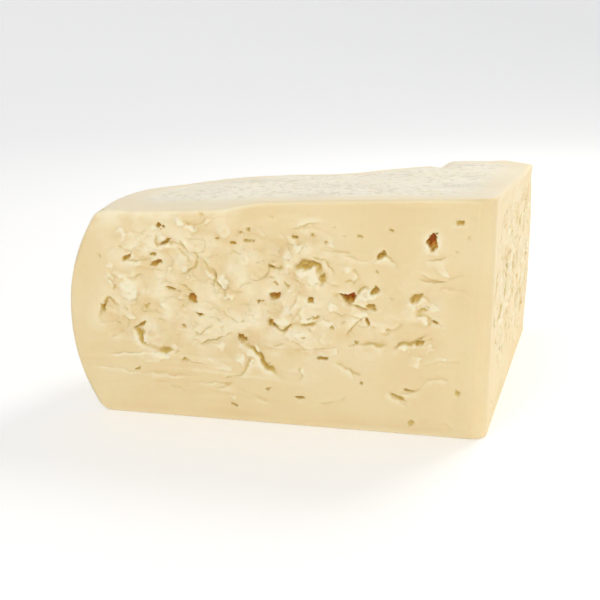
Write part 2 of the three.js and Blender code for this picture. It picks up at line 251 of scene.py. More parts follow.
# Ledges of the front face, where one smear of curd ends over another: width and depth of the groove, height
# of the proud lip (above 0 to the left of the line as seen, below 0 to its right), and points as (from the
# corner, height)
frontLedges = [
    (0.75, 1.9, -0.9, (72.5, 60.5), (70, 64), (65.5, 63.8), (62.5, 60.5), (61.3, 55)),
    (0.75, 2.0, 0.8, (83.5, 43), (81.5, 39.4), (77, 38.2), (72.5, 40.4), (66, 41.2), (62.5, 44.5)),
    (0.7, 1.9, -1.1, (138, 35.4), (134.6, 33), (133.8, 29.6), (130.5, 27.6), (125, 26.6), (120, 27.6)),
    (0.7, 1.8, -1.0, (97, 35), (92, 31), (87, 28.6), (84.6, 24), (81, 21.5), (76, 18.6)),
    (0.6, 1.3, 0.3, (151.5, 38), (149, 45.5), (146, 46), (143.4, 43.5)),
    (0.55, 1.2, -0.7, (37, 33.2), (31, 35), (27, 36.6), (21, 39.6)),
    (0.6, 1.2, 0.8, (58.5, 55), (54, 51), (49, 49.6), (45, 48.4), (41, 48.6)),
    (0.55, 1.0, -0.8, (50.5, 53), (47, 55.6), (43, 56.4), (41.4, 53)),
    (0.45, 0.7, -0.3, (41, 70.5), (36.5, 67.4), (33, 64)),
    (0.4, 0.5, -0.6, (20, 57), (15, 57.4), (10, 57), (6, 54.6), (2, 50.5)),
    (0.4, 0.5, 0.3, (28, 64), (23, 61.4), (17, 60.4), (13, 60.6)),
    (0.6, 1.0, -0.8, (120, 67.6), (116.5, 65), (114.5, 61.5)),
    (0.5, 0.9, 0.5, (129, 53.2), (121, 53.8), (115.5, 51.5), (112.5, 46)),
    (0.5, 0.9, 0.4, (131.5, 46.4), (134.2, 41.8), (129.4, 42.2), (126, 41.6)),
    (0.45, 0.8, -0.4, (68, 66.8), (61.5, 66), (57, 61)),
    (0.6, 0.9, -1.0, (108, 63), (104.5, 57.6), (101.6, 52.6), (99.5, 47.5)),
    (0.4, 0.6, -0.6, (90, 67.4), (84.5, 63.6), (79, 64.4)),
    (0.45, 0.7, -0.5, (58, 26.8), (51.5, 23.5), (46.5, 21.2)),
    (0.4, 0.5, -0.4, (38, 17.2), (33.5, 13.6), (29, 10.4)),
    (0.35, 0.45, -0.5, (153, 24.6), (143, 24.6), (133, 25.4), (122, 24.8)),
    (0.3, 0.4, -0.6, (155, 19.6), (146, 18), (136, 17.4), (124, 17.2), (112, 16.6)),
    (0.4, 0.55, -0.4, (130, 15), (122, 13), (117, 10.4)),
    (0.35, 0.45, -0.5, (117, 14.6), (106, 15), (96, 13.6), (86, 10.2), (80, 9)),
    (0.35, 0.45, 0.4, (88, 31), (78, 30.4), (66, 31), (58, 31.8)),
    (0.35, 0.4, -0.4, (116, 31), (108, 30.6), (100, 31.2)),
    (0.35, 0.4, 0.4, (122, 33.4), (112, 34), (104, 33.2)),
    (0.5, 0.8, -0.9, (119, 80), (114, 77.4), (109.5, 77.8), (106, 81)),
    (0.45, 0.6, 0.6, (146, 56.6), (140, 55), (134, 56.4), (130, 54)),
    (0.4, 0.5, -0.5, (136, 50), (132.5, 46), (128, 44.6), (123, 40.6)),
    (0.45, 0.6, -0.6, (90, 60.6), (86, 57.4), (83.5, 52.8)),
    (0.35, 0.5, -0.5, (26, 22.4), (20, 22.6), (14, 23.4)),
    (0.35, 0.4, 0.3, (24, 28), (17, 29.6), (10, 30)),
]
# Flaps of smeared curd: distance from the corner, height, length, width, heading (degrees, 0 to the right)
# and rise at the torn end
frontFlaps = [
    (115, 79.6, 9, 4.5, -150, 1.1), (114, 74.5, 7, 4.5, 20, 1.2), (126, 72.4, 6, 3, -30, 0.8),
    (141, 51.5, 16, 7, -42, 1.9), (147, 55, 7, 4, -20, 0.7), (104, 59, 16, 6, -50, 1.9),
    (117, 61.5, 11, 3, -65, 0.9), (83, 68.5, 11, 5, -10, 0.9), (73.5, 69.6, 9, 4.4, 5, 1.0),
    (68, 57.8, 9.5, 9, 70, 1.7), (88, 45, 8, 6, 200, 1.0), (78, 45.5, 8, 4, 10, 0.7),
    (47.4, 52.4, 6.4, 2.8, 8, 1.3), (91, 30.5, 12, 5.5, -50, 1.4), (135, 31.5, 7, 6, -10, 1.1),
    (116.7, 36.8, 10, 3.4, 5, 0.8), (127, 58, 7, 4, -30, 0.8), (94, 72.5, 6, 4, 30, 0.8),
    (60, 30.5, 8, 3.5, 10, 0.6), (30, 50, 7, 3, 30, 0.6), (24, 33.4, 9, 3, 25, 0.6),
    (104, 44, 8, 4.5, -60, 0.8), (97, 51.5, 8, 5, -130, 0.9), (57, 47.5, 6, 4, 150, 0.8),
    (76, 62, 7, 4, -160, 0.7), (131, 24, 16, 5, 4, 0.5), (104, 23, 13, 4, -14, 0.5),
    (140, 41, 8, 5, -60, 0.9), (123, 44, 7, 4, 160, 0.7), (70, 35.5, 9, 4, 170, 0.6),
]
curd = dict(
    # where the curd is broken, along the face and up it: the front's main patch, its near one and the side's
    broken=((46, 76, 140, 156), (18, 36, 68, 84)), near=((8, 24, 56, 74), (24, 38, 54, 68)), nearStrength=0.4,
    sideBroken=((12, 40, 142, 158), (8, 24, 70, 86)), sideStrength=0.7,
    cloud=(30, 22, 12, 3), cloudMean=0.74, cloudDepth=0.7, cloudMost=1.1,
    # leaning plates of curd at two sizes, and how far their outlines stray
    plateLength=(24, 10), plateHeight=(13, 6), plateRise=(1.9, 0.8), plateLift=0.3, sharpness=(13, 12),
    leaning=1.1, wander=(5.5, 3.4), wanderLength=19, wanderHeight=13,
    # drag lines of the knife, bowed, deeper low on the left
    drag=0.05, dragLow=0.22, dragged=((50, 90, 150, 175), (3, 10, 26, 36)), dragLength=52, dragHeight=1.7,
    bow=1.4, bowLength=23,
    smears=(17, 3.2, 9, 3), smearSlope=(1.3, -0.2), smear=0.22, smearEverywhere=0.15,
    swells=(24, 18, 18, 2), swell=0.4, grains=(1.6, 1.2, 14, 3), grain=0.045, crumb=0.18,
    sunk=(0.45, 0.95),  # how far the face lies below the knife's plane, and how much more where broken
    edgeFade=(3, 4, 6),  # the relief fades in this far from the foot, the top and the corner
    softness=0.02, softRest=0.07,  # of the smooth step where the relief meets the knife's plane
    # painted shading: the paint darkens hollows and pales proud places by the depth against the mean around
    # it, near and wide,
    # and paints the top edge paler: from, to, and by how much
    shallow=1.5, nearReach=8, nearShare=0.9, wideReach=28, wideShare=0.6, paleEdge=(2.4, 0.4, 0.3),
    pale=((80, 110, 170, 190), (70, 81)),  # along and up: what the paint takes as broken too
)


def brokenness(along, up, face):
    # the share of broken curd: patches with soft sides, times a cloudy pattern
    if face == 1:
        main = within(along, curd["broken"][0]) * within(up, curd["broken"][1])
        near = curd["nearStrength"] * within(along, curd["near"][0]) * within(up, curd["near"][1])
        main = np.maximum(main, near)
    else:
        main = curd["sideStrength"] * within(along, curd["sideBroken"][0]) * within(up, curd["sideBroken"][1])
    cloud = cloudOf(along, up, curd["cloud"], face)
    return np.clip(main * (curd["cloudMean"] + curd["cloudDepth"] * cloud), 0, curd["cloudMost"])


def strewnPlaces(face, dice, count, spans, spares):
    # places by chance; one is left out where a further draw is over the brokenness and what is to spare
    for k in range(count):
        kept = False
        while not kept:
            along, up = dice.uniform(*spans[0]), dice.uniform(*spans[1])
            kept = dice.random() <= brokenness(along, up, face) + spares[k % len(spares)]
        yield along, up


openings = dict(
    # by chance: how many, the widest (beyond the least) and the deepest, on the front and on the side
    front=(150, 2.2, 1.4), side=(120, 4.2, 2.6), spans=((4, 153), (4, 83)), outside=(0.22,),
    leastWidth=0.7, rarity=2.6, flatness=(0.3, 0.72), tilt=24, depthPerWidth=0.6, depthShare=(0.4, 1),
    # each one: corners (at least, fewer than), their shift, how far the sides stand out, and how round it is
    corners=(5, 8), cornerShift=0.3, reaches=(0.7, 1.12), roundness=5,
    warp=(0.42, 0.24), warpSize=(0.27, 0.7), around=(1.2, 0.8), rimAt=1.1, wallWidth=0.6,
    shelf=(-1.45, 0.3), shelfLean=0.4, shelfWarp=(0.45, 1.1), least=0.12,
    floor=(0.2, 0.09, 0.6),  # share of the depth: at no width, more for each mm of it, at most
    lip=(0.3, 0.1), lipAt=1.36, lipWidth=0.24, lipFrom=5,  # its height at most and for each mm of depth
    lipLow=(0.35, 0.65, 1.3),  # proud below the opening and a little sunk above it
    # painted shade inside each opening: how far in it starts, the upper part it covers, the depth at which it
    # is full, and its power
    tintAt=1.05, tintShelf=(-1.3, 0.1), tintDepth=6.2, tintPower=1.1,
)
ledges = dict(
    # by chance: how many on the front and the side, and pairs for a short arc and a near-level scratch
    front=90, side=130, spans=((6, 153), (6, 80)), outside=(0.02, 0.22),
    heading=(34, 12), bend=(26, 9), strength=(1, 0.6), stride=(1.2, 4.4), share=(0.35, 1), strides=4,
    width=(0.25, 0.25), depth=1.2, lifts=(-0.9, 0.6),
    # each one: points between two, how far round it is worked out, its waver, its groove and sides, and the
    # painted shade along the groove
    between=4, margin=9, warp=(0.8, 0.3), warpSize=(2.9, 1.1), patchSize=4, patchMean=0.8, patchDepth=0.55,
    patchMost=1.1, ends=0.22, groove=0.8, step=0.3, lipReach=1.7, low=0.4, lowReach=3.4, shadeTint=(0.3, 0.16),
)
flaps = dict(
    front=190, side=220, spans=((6, 153), (6, 80)), outside=(0.02,),
    length=(1.5, 9), rarity=2.4, rise=(0.8, 0.14), riseShare=(0.4, 1), slimness=(0.35, 0.75),
    heading=(-25, 55),
    # each one: the waver of its end and sides, where it starts and ends (in half lengths), and its climb
    warp=(0.3, 0.12, 0.4), warpSize=(0.3, 0.8, 0.4), around=(0.75, 1), start=1.1, end=0.9, climb=1.6,
    tornWidth=0.8, sideFade=0.75,
)


def strewnOpenings(face, dice, count, widest, deepest):
    # small ones are the most common
    made = []
    for place in strewnPlaces(face, dice, count, openings["spans"], openings["outside"]):
        wide = openings["leastWidth"] + widest * dice.random() ** openings["rarity"]
        tall = wide * dice.uniform(*openings["flatness"])
        tilt = dice.normal(0, openings["tilt"])
        deep = min(deepest, openings["depthPerWidth"] * wide) * dice.uniform(*openings["depthShare"])
        made.append((*place, wide, tall, tilt, deep))
    return made


def strewnLedges(face, dice, count):
    # short arcs by chance in the broken curd, and as many near-level scratches that also lie outside it:
    # a start, a heading, and an even bend
    made = []
    for place in strewnPlaces(face, dice, count, ledges["spans"], ledges["outside"]):
        kind = len(made) % 2
        heading, bend = dice.normal(0, ledges["heading"][kind]), dice.normal(0, ledges["bend"][kind])
        stride = dice.uniform(*ledges["stride"])
        strength = dice.uniform(*ledges["share"]) * ledges["strength"][kind]
        points = [place]
        for k in range(ledges["strides"]):
            turned = math.radians(heading + k * bend)
            s, z = points[-1]
            points.append((s - stride * math.cos(turned), z + stride * math.sin(turned)))
        wide = ledges["width"][0] + ledges["width"][1] * strength
        lift = dice.choice(ledges["lifts"]) * strength
        made.append((wide, ledges["depth"] * strength, lift, *points))
    return made


def strewnFlaps(face, dice, count):
    # short flaps by chance in the broken curd, most of them dragged down to the right
    made = []
    for place in strewnPlaces(face, dice, count, flaps["spans"], flaps["outside"]):
        long = flaps["length"][0] + flaps["length"][1] * dice.random() ** flaps["rarity"]
        rise = min(flaps["rise"][0], flaps["rise"][1] * long) * dice.uniform(*flaps["riseShare"])
        wide = long * dice.uniform(*flaps["slimness"])
        made.append((*place, long, wide, dice.normal(*flaps["heading"]), rise))
    return made


def turnedAbout(along, up, s, z, reach, tilt):
    # the grid's cells near a place, and their distances from it along and across a line at that tilt
    rows, cols = np.nonzero((np.abs(along - s) < reach) & (np.abs(up - z) < reach))
    a, b = s - along[rows, cols], up[rows, cols] - z
    c, d = math.cos(math.radians(tilt)), math.sin(math.radians(tilt))
    return rows, cols, a, b, a * c + b * d, b * c - a * d


def carveOpenings(depth, pitShade, along, up, places, dice):
    # each opening is an uneven polygon: the distance from its middle is the largest of a few leaning planes,
    # rounded by a power mean and warped. It is deepest under its upper edge and shelves away downwards by an
    # S-curve, and torn curd stands proud below. Under its upper edge it is painted in a darker shade that
    # grows with its depth
    shift, power = openings["cornerShift"], openings["roundness"]
    coarse, fine = openings["warpSize"]
    for s, z, wide, tall, tilt, deep in places:
        count = dice.integers(*openings["corners"])
        turns = (np.arange(count) + dice.uniform(-shift, shift, count)) * math.tau / count
        turns = turns + dice.uniform(0, math.tau)
        reaches = dice.uniform(*openings["reaches"], count)
        reach = openings["around"][0] * max(wide, tall) + openings["around"][1]
        rows, cols, a, b, p, q = turnedAbout(along, up, s, z, reach, tilt)
        p, q = p / (wide / 2), q / (tall / 2)
        planes = [np.maximum(p * math.cos(t) + q * math.sin(t), 0) / r for t, r in zip(turns, reaches)]
        away = sum(plane ** power for plane in planes) ** (1 / power)
        size = coarse * wide
        away = away + openings["warp"][0] * softNoise(a / size + s, b / size + z, 3)
        away = away + openings["warp"][1] * softNoise(a / fine + z, b / fine + s, 5)
        share, size = openings["shelfWarp"]
        height = q + openings["shelfLean"] * p + share * softNoise(a / size, b / size, 9)
        shelf = mix(openings["least"], 1, ramp(height, *openings["shelf"]))
        hollow = ramp(openings["rimAt"] - away, 0, openings["wallWidth"]) * shelf
        highest, perDepth = openings["lip"]
        lip = min(highest, perDepth * deep) * min(1, wide / openings["lipFrom"])
        level, swing, steep = openings["lipLow"]
        lip = lip * lines(away - openings["lipAt"], openings["lipWidth"])
        lip = lip * (level - swing * np.tanh(steep * q))
        least, perWidth, most = openings["floor"]
        depth[rows, cols] += min(most, least + perWidth * wide) * deep * hollow - lip
        # painted shade in the opening's upper part, deeper openings painted darker
        shadeTint = ramp(openings["tintAt"] - away, 0, openings["wallWidth"])
        shadeTint = shadeTint * ramp(height, *openings["tintShelf"])
        shadeTint = shadeTint * min(1, (deep / openings["tintDepth"]) ** openings["tintPower"])
        pitShade[rows, cols] = np.maximum(pitShade[rows, cols], shadeTint)


def lineDistance(a, b, run):
    # distance to a run of short straight pieces, above 0 to its left as seen on the face, and how far along
    # the run (0 to 1) the nearest point is
    near, side, at = np.full(a.shape, 99.0), np.zeros(a.shape), np.zeros(a.shape)
    for k in range(len(run) - 1):
        (s0, z0), (ds, dz) = run[k], run[k + 1] - run[k]
        t = np.clip(((a - s0) * ds + (b - z0) * dz) / (ds * ds + dz * dz), 0, 1)
        away = np.hypot(a - s0 - t * ds, b - z0 - t * dz)
        closer = away < near
        near = np.where(closer, away, near)
        side = np.where(closer, np.sign((a - s0) * dz - (b - z0) * ds), side)
        at = np.where(closer, (k + t) / (len(run) - 1), at)
    return near * side, at


def carveLedges(depth, pitShade, along, up, curves):
    # along each curve a groove exp(-(d / width)^2); on one side the curd is drawn up into a lip that dies
    # away in a few millimetres, and on the other it lies lower. Both ends taper off
    bends, frays = ledges["warp"]
    coarse, fine = ledges["warpSize"]
    ends = ledges["ends"]
    for wide, deep, lift, *points in curves:
        points = np.array(points)
        place = np.linspace(0, len(points) - 1, (len(points) - 1) * ledges["between"] + 1)
        run = throughPoints(points, place)
        (lowS, lowZ), (highS, highZ) = run.min(0) - ledges["margin"], run.max(0) + ledges["margin"]
        rows, cols = np.nonzero((along > lowS) & (along < highS) & (up > lowZ) & (up < highZ))
        s, z = along[rows, cols], up[rows, cols]
        a = s + bends * softNoise(s / coarse, z / coarse, 6) + frays * softNoise(s / fine, z / fine, 8)
        b = z + bends * softNoise(s / coarse, z / coarse, 7) + frays * softNoise(s / fine, z / fine, 10)
        away, at = lineDistance(a, b, run)
        patchy = ledges["patchDepth"] * softNoise(s / ledges["patchSize"], z / ledges["patchSize"], 8)
        strength = np.clip(ledges["patchMean"] + patchy, 0, ledges["patchMost"])
        strength = strength * ramp(at, 0, ends) * (1 - ramp(at, 1 - ends, 1))
        proud = 0.5 + 0.5 * np.tanh(away * np.sign(lift) / ledges["step"])  # 1 on the raised side
        groove = lines(away, wide)
        lip = abs(lift) * proud * np.exp(-np.abs(away) / ledges["lipReach"])
        sunk = ledges["low"] * deep * (1 - proud) * np.exp(-np.abs(away) / ledges["lowReach"])
        depth[rows, cols] += strength * (ledges["groove"] * deep * groove + sunk - lip)
        # painted shade along the groove
        shadeTint = min(ledges["shadeTint"][0], ledges["shadeTint"][1] * deep)
        pitShade[rows, cols] = np.maximum(pitShade[rows, cols], strength * groove * shadeTint)


def raiseFlaps(depth, along, up, places):
    # within a warped ellipse the surface climbs along the flap's heading and ends in a torn edge; its sides
    # fade out
    frays, crumbs, sways = flaps["warp"]
    fraySize, crumbSize, swaySize = flaps["warpSize"]
    start = flaps["start"]
    for s, z, long, wide, heading, rise in places:
        reach = flaps["around"][0] * long + flaps["around"][1]
        rows, cols, a, b, p, q = turnedAbout(along, up, s, z, reach, heading)
        p, q = p / (long / 2), q / (wide / 2)
        p = p + frays * softNoise(a / (fraySize * wide) + s, b / (fraySize * wide) + z, 4)
        p = p + crumbs * softNoise(a / crumbSize, b / crumbSize + s, 8)
        q = q + sways * softNoise(a / (swaySize * long) + z, b / (swaySize * long) + s, 6)
        across = np.clip(1 - q * q, 0, 1)
        end = flaps["end"] * np.sqrt(across)
        climb = np.clip((p + start) / (end + start), 0, 1) ** flaps["climb"]
        torn = ramp(end - p, -flaps["tornWidth"] / long, flaps["tornWidth"] / long)
        depth[rows, cols] -= rise * climb * torn * ramp(across, 0, flaps["sideFade"])


def cutRelief(along, up, height, radius, face):
    # depth below the knife's plane: leaning plates of curd, smears, flaps, ledges, openings and drag lines
    broken = brokenness(along, up, face)
    length, tall = curd["wanderLength"], curd["wanderHeight"]
    x = along + curd["wander"][0] * cloudNoise(along / length, up / tall, 2 + face, 3)
    z = up + curd["wander"][1] * cloudNoise(along / length + 40, up / tall, 5 + face, 3)
    depth = np.zeros(along.shape)
    pitShade = np.zeros(along.shape)
    for size in range(2):
        layer = 2 * size + 5 * (face - 1)
        length, tall = curd["plateLength"][size], curd["plateHeight"][size]
        level = plates(x / length, z / tall, layer, curd["sharpness"][size], curd["leaning"])
        depth += broken * curd["plateRise"][size] * (level + curd["plateLift"])
    slopeX, slopeZ = x + curd["smearSlope"][0] * z, z + curd["smearSlope"][1] * x
    smear = cloudOf(slopeX, slopeZ, curd["smears"], face)
    depth += curd["smear"] * (curd["smearEverywhere"] + broken) * smear
    dice = np.random.default_rng(seed + face)
    faceName = "front" if face == 1 else "side"
    raiseFlaps(depth, along, up, strewnFlaps(face, dice, flaps[faceName]))
    if face == 1:
        raiseFlaps(depth, along, up, frontFlaps)
        carveLedges(depth, pitShade, along, up, frontLedges)
    carveLedges(depth, pitShade, along, up, strewnLedges(face, dice, ledges[faceName]))
    if face == 1:
        carveOpenings(depth, pitShade, along, up, frontOpenings, dice)
    carveOpenings(depth, pitShade, along, up, strewnOpenings(face, dice, *openings[faceName]), dice)
    bowed = up / curd["dragHeight"] + curd["bow"] * np.sin(along / curd["bowLength"])
    drag = cloudNoise(along / curd["dragLength"], bowed, 15 + face, 3)
    dragged = within(along, curd["dragged"][0]) * within(up, curd["dragged"][1])
    depth += drag * (curd["drag"] + curd["dragLow"] * dragged)
    depth += curd["swell"] * cloudOf(along, up, curd["swells"])
    depth += (curd["grain"] + curd["crumb"] * broken) * cloudOf(along, up, curd["grains"])
    foot, top, corner = curd["edgeFade"]
    edge = ramp(up, 0, foot) * (1 - ramp(up, height - top, height))
    edge = edge * ramp(along, cornerReach, cornerReach + corner)
    depth = (curd["sunk"][0] + curd["sunk"][1] * broken + depth) * edge
    depth = 0.5 * (depth + np.sqrt(depth ** 2 + curd["softness"])) - curd["softRest"]  # never above the plane
    # painted shading: how far each point lies below the mean around it, near and wide; hollows are painted
    # darker, proud places paler, and the top edge paler
    shallow = np.minimum(depth, curd["sunk"][0] + curd["shallow"])
    paintedShading = curd["nearShare"] * (shallow - blurred(shallow, curd["nearReach"]))
    paintedShading = paintedShading + curd["wideShare"] * (shallow - blurred(shallow, curd["wideReach"]))
    low, high, paler = curd["paleEdge"]
    paintedShading = np.clip(paintedShading - paler * ramp(up, height - low, height - high), -1, 1)
    if face == 1:
        broken = np.maximum(broken, within(along, curd["pale"][0]) * ramp(up, *curd["pale"][1]))
    depth += roundedBy(height - up, edges["cutTop"]) + roundedBy(up, edges["cutBottom"])
    depth += roundedBy(radius - along, edges["upright"])
    return depth, pitShade * edge, paintedShading, broken


# ---- the rind and the top ----

crust = dict(
    # patterns stand in brackets as length, height, layer and octaves
    bandFront=(5, 12), bandSide=(5, 17), bandRind=(10, 24),  # smooth bands where the top's marks fade in
    waver=(2.2, 0.5), wideWaver=(38, 30, 2, 2), nearWaver=(9, 7, 6, 1),
    ridge=0.3, ridgeSpacing=3.1, ridgePatch=(26, 15, 4, 3), ridgeMean=0.55, ridgeDepth=0.8,
    crease=0.42, creaseLength=19, creaseHeight=2.4, creaseWidth=0.09, creaseShare=0.35,
    creaseGain=0.9, creaseFrom=(110, 10), creasePatch=(22, 12, 10, 2), creasePatchDepth=0.7,
    creaseBreak=(5, 1.9, 13, 1), creaseBreakRange=(-0.25, 0.35),
    roll=0.22, rolls=(30, 22, 12, 3), rollFront=(2, 12), rollRind=(0, 9),
    pebble=0.22, pebbles=(2.2, 1.8, 16, 2), pebbleOnBand=0.25, sideFade=4,
    rindWaver=(30, 20, 3, 2), rib=0.13, ribSpacing=5.2, ribWaver=1.92, weave=0.07, weaveSpacing=2.1,
    weaveWaver=1.2, rindPatch=(34, 24, 7, 3), rindMean=0.5, rindDepth=0.9,
    dent=0.4, dents=(7, 5.5, 11, 2), dentFrom=0.42,
    wrinkle=0.35, wrinkles=(22, 4.6, 14, 3), wrinkleWidth=0.08,
    wrinklePatch=(30, 16, 17, 2), wrinkleShare=0.3,
    roughness=0.12, roughs=(2.6, 2, 15, 3), rindFade=(5, 6), rindEndFade=8,
    # what the paint reads: the marks' hollows as painted shade and their ridges as painted highlight, and the
    # share of crust on the rind, underside and top
    rindHollow=1.1, topHollow=0.9, onRind=0.75, under=0.75, onBand=0.55,
)


def topMarks(x, y):
    # marks of the mould's base on the top: fine ridges along the front face, and creases, denser to the
    # right. Also returns how far each point is clear of the smooth bands along the edges
    out = np.hypot(x, y)
    fromSide = x * sideInward[0] + y * sideInward[1]
    inner = ramp(y, *crust["bandFront"]) * ramp(fromSide, *crust["bandSide"])
    inner = inner * ramp(rim - out, *crust["bandRind"])
    waver = crust["waver"][0] * cloudOf(x, y, crust["wideWaver"])
    waver = waver + crust["waver"][1] * cloudOf(x, y, crust["nearWaver"])
    ridges = (0.5 + 0.5 * np.cos(math.tau * (y + waver) / crust["ridgeSpacing"])) ** 2
    patch = np.clip(crust["ridgeMean"] + crust["ridgeDepth"] * cloudOf(x, y, crust["ridgePatch"]), 0, 1)
    stretched = cloudNoise(x / crust["creaseLength"] + 3, (y + waver) / crust["creaseHeight"], 7, 2)
    share = crust["creaseShare"] + crust["creaseGain"] * ramp(-x, *crust["creaseFrom"])
    share = np.clip(share + crust["creasePatchDepth"] * cloudOf(x, y, crust["creasePatch"]), 0, 1)
    unbroken = ramp(cloudOf(x, y + waver, crust["creaseBreak"]), *crust["creaseBreakRange"])
    creases = lines(stretched, crust["creaseWidth"]) * share * unbroken
    relief = crust["ridge"] * (ridges - 0.5) * patch - crust["crease"] * creases
    roll = crust["roll"] * cloudOf(x, y, crust["rolls"])
    relief = relief * inner + roll * ramp(y, *crust["rollFront"]) * ramp(rim - out, *crust["rollRind"])
    pebble = crust["pebble"] * cloudOf(x, y, crust["pebbles"])
    relief = relief + pebble * mix(crust["pebbleOnBand"], 1, inner)
    return relief * ramp(fromSide, 0, crust["sideFade"]), inner


def rindMarks(round, up, height):
    # marks of the basket on the rind: upright ribs, a fine weave across them, dents and soft wrinkles
    waver = cloudOf(round, up, crust["rindWaver"])
    ribs = np.cos(math.tau * (round + crust["ribWaver"] * waver) / crust["ribSpacing"])
    weave = np.cos(math.tau * (up + crust["weaveWaver"] * waver) / crust["weaveSpacing"])
    weave = weave * np.cos(math.tau * round / (2 * crust["weaveSpacing"]))
    patch = np.clip(crust["rindMean"] + crust["rindDepth"] * cloudOf(round, up, crust["rindPatch"]), 0, 1)
    dents = np.clip(cloudOf(round, up, crust["dents"]) - crust["dentFrom"], 0, 1) * 2
    wrinkled = np.clip(cloudOf(round, up, crust["wrinklePatch"]) + crust["wrinkleShare"], 0, 1)
    wrinkles = lines(cloudOf(round, up, crust["wrinkles"]), crust["wrinkleWidth"]) * wrinkled
    relief = patch * (crust["rib"] * ribs + crust["weave"] * weave) - crust["dent"] * dents
    relief = relief - crust["wrinkle"] * wrinkles
    relief = relief + crust["roughness"] * cloudOf(round, up, crust["roughs"])
    foot, top = crust["rindFade"]
    return relief * ramp(up, 0, foot) * (1 - ramp(up, height - top, height))


# ---- the grid ----

def outline():
    # stations round the plan: which side each is on (1 front, 2 rind, 3 side, 4 corner) and how far along it,
    # 0 to 1
    kinds, shares = [], []
    for kind, name in ((1, "front"), (2, "rind"), (3, "side"), (4, "corner")):
        share = np.arange(steps[name]) / steps[name]
        kinds.append(np.full(steps[name], kind))
        shares.append(1 - share if name == "side" else share)
    return np.concatenate(kinds), np.concatenate(shares)


def wallGrid(kind, t):
    # rows of shares of the height; the plan point follows the cut faces, the rind's arc or the corner's arc
    share = np.linspace(0, 1, steps["rows"] + 1)[:, None]
    radius = wallRadius(share)
    shape = (len(share), len(t))
    x, y = np.zeros(shape), np.zeros(shape)
    front, rind, side, corner = (kind == k for k in (1, 2, 3, 4))
    upright = edges["upright"]
    spared = upright * (1 - math.sqrt(0.5))  # from the corner to the rounded edge's 45 degree point
    along = cornerReach + t * (radius - spared - cornerReach)
    x[:, front] = -along[:, front]
    x[:, side], y[:, side] = along[:, side] * sideWay[0], along[:, side] * sideWay[1]
    arc = mix(spared, sideAngle * radius - spared, t[rind])
    fromEnd = np.minimum(arc, sideAngle * radius - arc)
    turn = arc / radius
    x[:, rind], y[:, rind] = -np.cos(turn), np.sin(turn)
    outAngle = math.atan2(-sideInward[1], -sideInward[0])
    bend = mix(outAngle, -math.pi / 2, t[corner])
    x[:, corner] = -cornerReach + wheel["cornerRound"] * np.cos(bend)
    y[:, corner] = wheel["cornerRound"] * (1 + np.sin(bend))
    height = topHeight(np.where(rind, x * radius, x), np.where(rind, y * radius, y))
    z = share * height
    pitShade, paintedShading, broken = np.zeros(shape), np.zeros(shape), np.zeros(shape)
    for face, chosen, inward in ((1, front, frontInward), (2, side, sideInward)):
        depth, pitShade[:, chosen], paintedShading[:, chosen], broken[:, chosen] = cutRelief(
            along[:, chosen], z[:, chosen], height[:, chosen], radius, face)
        x[:, chosen] += depth * inward[0]
        y[:, chosen] += depth * inward[1]
    ends = np.sin(np.pi * turn / sideAngle) * np.sin(np.pi * share)
    long = np.sin(turn / sideAngle * wheel["rindSwells"][0]) * np.cos(share * wheel["rindLean"][0])
    short = np.sin(turn / sideAngle * wheel["rindSwells"][1] + share * wheel["rindLean"][1])
    inside = ramp(fromEnd, 0, crust["rindEndFade"])
    marks = rindMarks(arc, z[:, rind], height[:, rind]) * inside
    swells = wheel["rindMean"] + long + wheel["rindShort"] * short
    out = radius - wheel["rindWave"] * ends * swells - wheel["rindSeat"] * inside + marks
    out = out - roundedBy(fromEnd, upright)
    # painted shading of the rind: hollows of its marks painted darker, their ridges paler
    paintedShading[:, rind] = np.clip(-crust["rindHollow"] * marks, -1, 1)
    x[:, rind] *= out
    y[:, rind] *= out
    tuck = roundedBy(height[:, corner] - z[:, corner], edges["cutTop"])
    tuck = tuck + roundedBy(z[:, corner], edges["cutBottom"])
    x[:, corner] += tuck * np.cos(bend + np.pi)
    y[:, corner] += tuck * np.sin(bend + np.pi)
    return np.stack([x, y, z], -1), pitShade, paintedShading, broken


def capGrid(edge, pole, ringCount, crowding, height):
    # rings between the wall's edge and a pole: each is the edge drawn towards the pole, set to the height
    share = (np.arange(1, ringCount) / ringCount) ** crowding
    plan = mix(edge[None, :, :2], pole, share[:, None, None])
    return np.concatenate([plan, height(plan[..., 0], plan[..., 1])[..., None]], -1)


def ringEdges(cols):
    # the two ends of each edge of the first ring; point 0 is the pole below it
    return 1 + np.arange(cols), 1 + (np.arange(cols) + 1) % cols


def ringQuads(rows, cols):
    # quads between the rings, wrapping round
    rowStart = np.arange(rows - 1)[:, None] * cols
    a, b = (rowStart + end for end in ringEdges(cols))
    return np.stack([a, a + cols, b + cols, b], -1).reshape(-1, 4)


def poleFans(rows, cols):
    # triangles from the first ring to the pole below it and from the last ring to the pole above it
    a, b = ringEdges(cols)
    last = (rows - 1) * cols
    low = np.stack([np.zeros(cols, int), a, b], -1)
    high = np.stack([np.full(cols, 1 + rows * cols), b + last, a + last], -1)
    return np.concatenate([low, high])


def meshFrom(name, points, quads, triangles, values):
    mesh = bpy.data.meshes.new(name)
    mesh.vertices.add(len(points))
    mesh.vertices.foreach_set("co", points.astype(np.float32).ravel())
    loops = np.concatenate([quads.ravel(), triangles.ravel()])
    starts = np.concatenate([np.arange(len(quads)) * 4, len(quads) * 4 + np.arange(len(triangles)) * 3])
    mesh.loops.add(len(loops))
    mesh.loops.foreach_set("vertex_index", loops.astype(np.int32))
    mesh.polygons.add(len(starts))
    mesh.polygons.foreach_set("loop_start", starts.astype(np.int32))
    mesh.update(calc_edges=True)
    for label, data in values.items():
        layer = mesh.attributes.new(label, "FLOAT", "POINT")
        layer.data.foreach_set("value", data.astype(np.float32))
    return mesh


